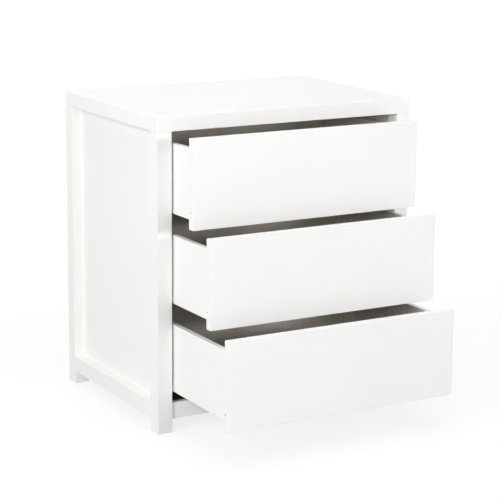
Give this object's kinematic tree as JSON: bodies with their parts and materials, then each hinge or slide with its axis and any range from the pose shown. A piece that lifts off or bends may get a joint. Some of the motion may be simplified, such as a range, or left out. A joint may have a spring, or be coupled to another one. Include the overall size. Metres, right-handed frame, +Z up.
{
  "type": "chest of drawers",
  "caption": "Free-standing chest with handle-less inset drawers on hidden full-extension runners, square corner posts, a thick top slab, recessed side panels and low rails.",
  "frame": {"origin": "on the floor, at the centre of the box that holds the chest with its drawers as far open as they are stored", "axes": "+Z up, the drawers open towards -Y, +X to the right of a person who faces the drawers"},
  "size_m": [0.79, 0.882, 0.86],
  "materials": {
    "white_lacquer": "satin white lacquer on fibreboard and solid wood",
    "side_board": "satin white lacquer outside, grey-brown linen-look melamine inside",
    "box_board": "satin white outside and on the edges, grey-brown linen-look melamine inside",
    "linen_board": "matt grey-brown linen-look melamine",
    "back_board": "brown hardboard, bare but for a grey-brown linen-look print on the back panel's inner face",
    "beech": "fluted beech, unfinished",
    "runner_steel": "galvanised sheet steel",
    "zinc_fittings": "bright zinc plate",
    "clip_plastic": "moulded dark grey plastic",
    "glide_plastic": "moulded off-white plastic"
  },
  "bodies": {
    "carcass": {"top_panel": "white_lacquer", "front_left_post": "white_lacquer", "front_right_post": "white_lacquer", "back_left_post": "white_lacquer", "back_right_post": "white_lacquer", "left_side_rail": "white_lacquer", "right_side_rail": "white_lacquer", "front_rail": "white_lacquer", "lower_back_rail": "white_lacquer", "upper_back_rail": "white_lacquer", "left_side_panel": "side_board", "right_side_panel": "side_board", "back_panel": "back_board", "base_panel": "back_board", "carcass_dowels": "beech", "cam_fittings": "zinc_fittings", "carcass_screws": "zinc_fittings", "foot_glides": "glide_plastic", "upper_left_runner_rail": "runner_steel", "upper_right_runner_rail": "runner_steel", "middle_left_runner_rail": "runner_steel", "middle_right_runner_rail": "runner_steel", "lower_left_runner_rail": "runner_steel", "lower_right_runner_rail": "runner_steel"},
    "upper_drawer": {"upper_drawer_front": "white_lacquer", "upper_drawer_left_side": "box_board", "upper_drawer_right_side": "box_board", "upper_drawer_back": "linen_board", "upper_drawer_bottom": "linen_board", "upper_drawer_dowels": "beech", "upper_drawer_bottom_screws": "zinc_fittings", "upper_drawer_clips": "clip_plastic", "upper_left_runner_cover": "runner_steel", "upper_right_runner_cover": "runner_steel"},
    "upper_runner": {"upper_left_runner_slide": "runner_steel", "upper_right_runner_slide": "runner_steel"},
    "middle_drawer": {"middle_drawer_front": "white_lacquer", "middle_drawer_left_side": "box_board", "middle_drawer_right_side": "box_board", "middle_drawer_back": "linen_board", "middle_drawer_bottom": "linen_board", "middle_drawer_dowels": "beech", "middle_drawer_bottom_screws": "zinc_fittings", "middle_drawer_clips": "clip_plastic", "middle_left_runner_cover": "runner_steel", "middle_right_runner_cover": "runner_steel"},
    "middle_runner": {"middle_left_runner_slide": "runner_steel", "middle_right_runner_slide": "runner_steel"},
    "lower_drawer": {"lower_drawer_front": "white_lacquer", "lower_drawer_left_side": "box_board", "lower_drawer_right_side": "box_board", "lower_drawer_back": "linen_board", "lower_drawer_bottom": "linen_board", "lower_drawer_dowels": "beech", "lower_drawer_bottom_screws": "zinc_fittings", "lower_drawer_clips": "clip_plastic", "lower_left_runner_cover": "runner_steel", "lower_right_runner_cover": "runner_steel"},
    "lower_runner": {"lower_left_runner_slide": "runner_steel", "lower_right_runner_slide": "runner_steel"}
  },
  "joints": [
    {"name": "upper_drawer_slide", "type": "slide", "parent": "carcass", "child": "upper_drawer", "axis": [0, -1, 0], "range_m": [-0.109, 0.341]},
    {"name": "upper_runner_slide", "type": "slide", "parent": "carcass", "child": "upper_runner", "axis": [0, -1, 0], "range_m": [-0.0555, 0.1715]},
    {"name": "middle_drawer_slide", "type": "slide", "parent": "carcass", "child": "middle_drawer", "axis": [0, -1, 0], "range_m": [-0.204, 0.246]},
    {"name": "middle_runner_slide", "type": "slide", "parent": "carcass", "child": "middle_runner", "axis": [0, -1, 0], "range_m": [-0.103, 0.124]},
    {"name": "lower_drawer_slide", "type": "slide", "parent": "carcass", "child": "lower_drawer", "axis": [0, -1, 0], "range_m": [-0.302, 0.148]},
    {"name": "lower_runner_slide", "type": "slide", "parent": "carcass", "child": "lower_runner", "axis": [0, -1, 0], "range_m": [-0.152, 0.075]}
  ],
  "couplings": [
    {"joint": "upper_runner_slide", "follows": "upper_drawer_slide", "ratio": 0.5},
    {"joint": "middle_runner_slide", "follows": "middle_drawer_slide", "ratio": 0.5},
    {"joint": "lower_runner_slide", "follows": "lower_drawer_slide", "ratio": 0.5}
  ]
}
